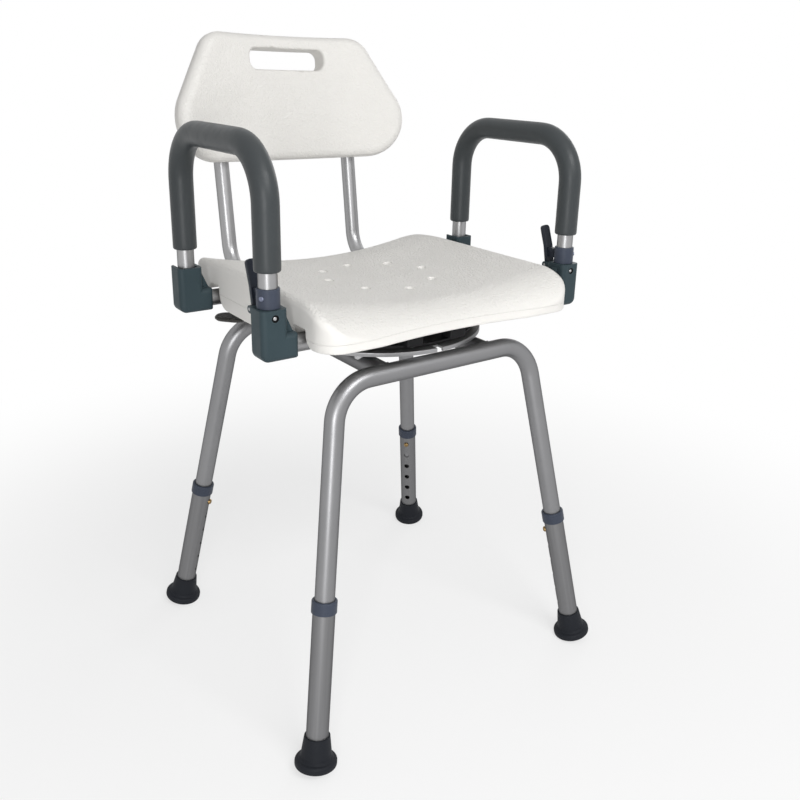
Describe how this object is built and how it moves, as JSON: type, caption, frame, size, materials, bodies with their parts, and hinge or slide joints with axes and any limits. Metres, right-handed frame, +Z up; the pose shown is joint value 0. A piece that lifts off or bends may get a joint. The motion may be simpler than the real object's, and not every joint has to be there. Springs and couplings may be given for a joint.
{
  "type": "swivel shower chair",
  "caption": "Swivel shower chair with dished seat, curved backrest, flip-up padded arms and height-adjustable splayed legs on rubber feet.",
  "frame": {"origin": "on the floor, under the swivel axis of the seat", "axes": "+Z up along the swivel axis, -Y towards the front edge of the seat, +X to the right as seen from the front"},
  "size_m": [0.516, 0.5302, 0.8829],
  "materials": {
    "leg_metal": "satin drawn tube",
    "bright_tube": "bright drawn tube",
    "disc_silver": "silver powder coat",
    "plate_black": "black powder coat",
    "steel": "zinc plated",
    "glide_nylon": "natural nylon",
    "shell": "pebbled off-white blow moulding",
    "bracket_grey": "dark teal grey, fine grain",
    "collar_blue": "blue grey, smooth",
    "lever_navy": "dark navy, fine grain",
    "foam": "closed-cell foam",
    "tip_rubber": "matt rubber",
    "button_brass": "polished"
  },
  "bodies": {
    "base": {"front_leg_hoop": "leg_metal", "rear_leg_hoop": "leg_metal", "side_rails": "leg_metal", "swivel_base_disc": "disc_silver", "disc_saddle_washers": "steel", "disc_bolts": "steel", "disc_nuts": "steel", "swivel_glide_ring": "glide_nylon", "pivot_bolt": "steel"},
    "seat": {"seat_shell": "shell", "swivel_top_plate": "plate_black", "pivot_bush": "glide_nylon", "front_cross_tube": "bright_tube", "rear_cross_tube": "bright_tube", "cross_tube_saddles": "plate_black", "seat_bolts": "steel", "front_left_arm_bracket": "bracket_grey", "front_right_arm_bracket": "bracket_grey", "rear_left_arm_bracket": "bracket_grey", "rear_right_arm_bracket": "bracket_grey", "bracket_screws": "steel", "back_sockets": "bright_tube", "left_back_tube": "bright_tube", "right_back_tube": "bright_tube", "backrest_panel": "shell", "backrest_screws": "steel", "back_tube_caps": "lever_navy", "arm_pivot_pins": "steel", "latch_pins": "steel", "lock_lever_pin": "steel"},
    "lock_lever": {"lock_lever": "steel", "lock_lever_grip": "lever_navy"},
    "front_left_leg": {"front_left_leg_tube": "leg_metal", "front_left_collar": "collar_blue", "front_left_foot_tip": "tip_rubber"},
    "front_left_button": {"front_left_snap_button": "button_brass"},
    "front_right_leg": {"front_right_leg_tube": "leg_metal", "front_right_collar": "collar_blue", "front_right_foot_tip": "tip_rubber"},
    "front_right_button": {"front_right_snap_button": "button_brass"},
    "rear_left_leg": {"rear_left_leg_tube": "leg_metal", "rear_left_collar": "collar_blue", "rear_left_foot_tip": "tip_rubber"},
    "rear_left_button": {"rear_left_snap_button": "button_brass"},
    "rear_right_leg": {"rear_right_leg_tube": "leg_metal", "rear_right_collar": "collar_blue", "rear_right_foot_tip": "tip_rubber"},
    "rear_right_button": {"rear_right_snap_button": "button_brass"},
    "left_arm": {"left_arm_tube": "bright_tube", "left_arm_grip": "foam", "left_latch_sleeve": "collar_blue", "left_pivot_plug": "bracket_grey", "left_arm_rivet": "steel"},
    "left_latch": {"left_latch_lever": "lever_navy"},
    "right_arm": {"right_arm_tube": "bright_tube", "right_arm_grip": "foam", "right_latch_sleeve": "collar_blue", "right_pivot_plug": "bracket_grey", "right_arm_rivet": "steel"},
    "right_latch": {"right_latch_lever": "lever_navy"}
  },
  "joints": [
    {"name": "seat_swivel", "type": "hinge", "parent": "base", "child": "seat", "pos_m": [0, 0, 0.5], "axis": [0, 0, 1], "continuous": true},
    {"name": "front_left_leg_height", "type": "slide", "parent": "base", "child": "front_left_leg", "axis": [0.1577, 0.1504, 0.976], "range_m": [0, 0.127]},
    {"name": "front_left_button_press", "type": "slide", "parent": "base", "child": "front_left_button", "axis": [-0.7064, -0.6734, 0.2179], "range_m": [0, 0.0045], "stiffness_N_per_m": 800, "deforming": ["front_left_snap_button"]},
    {"name": "front_right_leg_height", "type": "slide", "parent": "base", "child": "front_right_leg", "axis": [-0.1577, 0.1504, 0.976], "range_m": [0, 0.127]},
    {"name": "front_right_button_press", "type": "slide", "parent": "base", "child": "front_right_button", "axis": [0.7064, -0.6734, 0.2179], "range_m": [0, 0.0045], "stiffness_N_per_m": 800, "deforming": ["front_right_snap_button"]},
    {"name": "rear_left_leg_height", "type": "slide", "parent": "base", "child": "rear_left_leg", "axis": [0.1577, -0.1504, 0.976], "range_m": [0, 0.127]},
    {"name": "rear_left_button_press", "type": "slide", "parent": "base", "child": "rear_left_button", "axis": [-0.7064, 0.6734, 0.2179], "range_m": [0, 0.0045], "stiffness_N_per_m": 800, "deforming": ["rear_left_snap_button"]},
    {"name": "rear_right_leg_height", "type": "slide", "parent": "base", "child": "rear_right_leg", "axis": [-0.1577, -0.1504, 0.976], "range_m": [0, 0.127]},
    {"name": "rear_right_button_press", "type": "slide", "parent": "base", "child": "rear_right_button", "axis": [0.7064, 0.6734, 0.2179], "range_m": [0, 0.0045], "stiffness_N_per_m": 800, "deforming": ["rear_right_snap_button"]},
    {"name": "left_arm_flip", "type": "hinge", "parent": "seat", "child": "left_arm", "pos_m": [-0.2352, 0.1068, 0.56], "axis": [-1, 0, 0], "range_deg": [0, 90]},
    {"name": "left_latch_turn", "type": "hinge", "parent": "seat", "child": "left_latch", "pos_m": [-0.2352, -0.103, 0.574], "axis": [1, 0, 0], "range_deg": [-15, 11], "stiffness_Nm_per_rad": 0.05},
    {"name": "right_arm_flip", "type": "hinge", "parent": "seat", "child": "right_arm", "pos_m": [0.2352, 0.1068, 0.56], "axis": [-1, 0, 0], "range_deg": [0, 90]},
    {"name": "right_latch_turn", "type": "hinge", "parent": "seat", "child": "right_latch", "pos_m": [0.2352, -0.103, 0.574], "axis": [1, 0, 0], "range_deg": [-15, 11], "stiffness_Nm_per_rad": 0.05},
    {"name": "swivel_lock", "type": "hinge", "parent": "seat", "child": "lock_lever", "pos_m": [-0.1, 0, 0.509], "axis": [0, -1, 0], "range_deg": [0, 5.5]}
  ]
}
